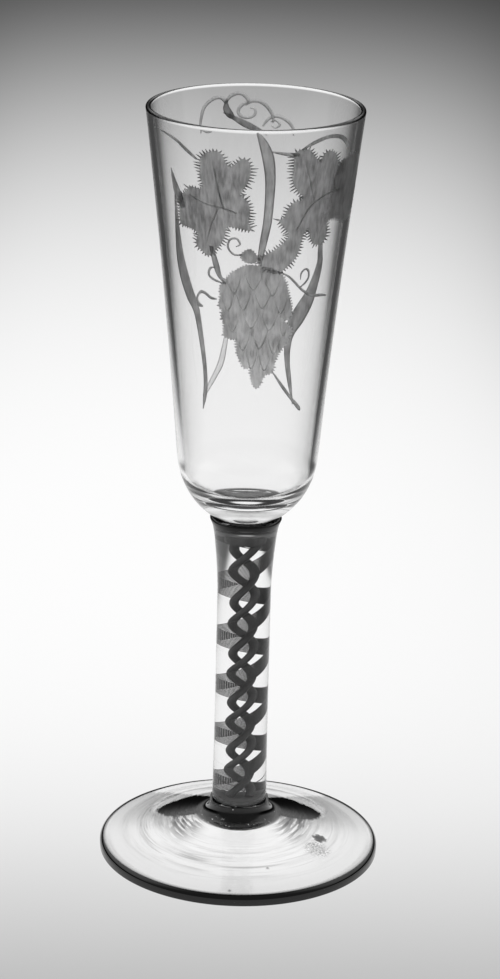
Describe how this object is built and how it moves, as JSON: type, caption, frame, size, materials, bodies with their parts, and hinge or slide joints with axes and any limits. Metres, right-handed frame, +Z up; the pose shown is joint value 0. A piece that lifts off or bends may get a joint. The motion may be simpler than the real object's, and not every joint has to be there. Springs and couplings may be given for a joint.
{
  "type": "ale glass",
  "caption": "Tall tapering ale glass with a solid opaque-twist stem on a conical foot, for drinking strong ale.",
  "frame": {"origin": "centre of the flat ring under the foot, on the surface that the glass stands on", "axes": "+Z up along the stem to the mouth; +X to the right and -Y towards the viewer as pictured"},
  "size_m": [0.0698, 0.0698, 0.19],
  "materials": {
    "clear_glass": "fire-polished clear lead glass with a faint grey tint",
    "rough_glass": "broken or wheel-ground glass, matt and greyish",
    "enamel": null
  },
  "bodies": {
    "root": {"bowl": "clear_glass", "stem_glass": "clear_glass", "foot": "clear_glass", "pontil_scar": "rough_glass", "twist_cord_1": "enamel", "twist_cord_2": "enamel", "band_thread_1": "enamel", "band_thread_2": "enamel", "band_thread_3": "enamel", "band_thread_4": "enamel", "band_thread_5": "enamel", "band_thread_6": "enamel", "band_thread_7": "enamel", "twist_end": "enamel"}
  },
  "joints": []
}
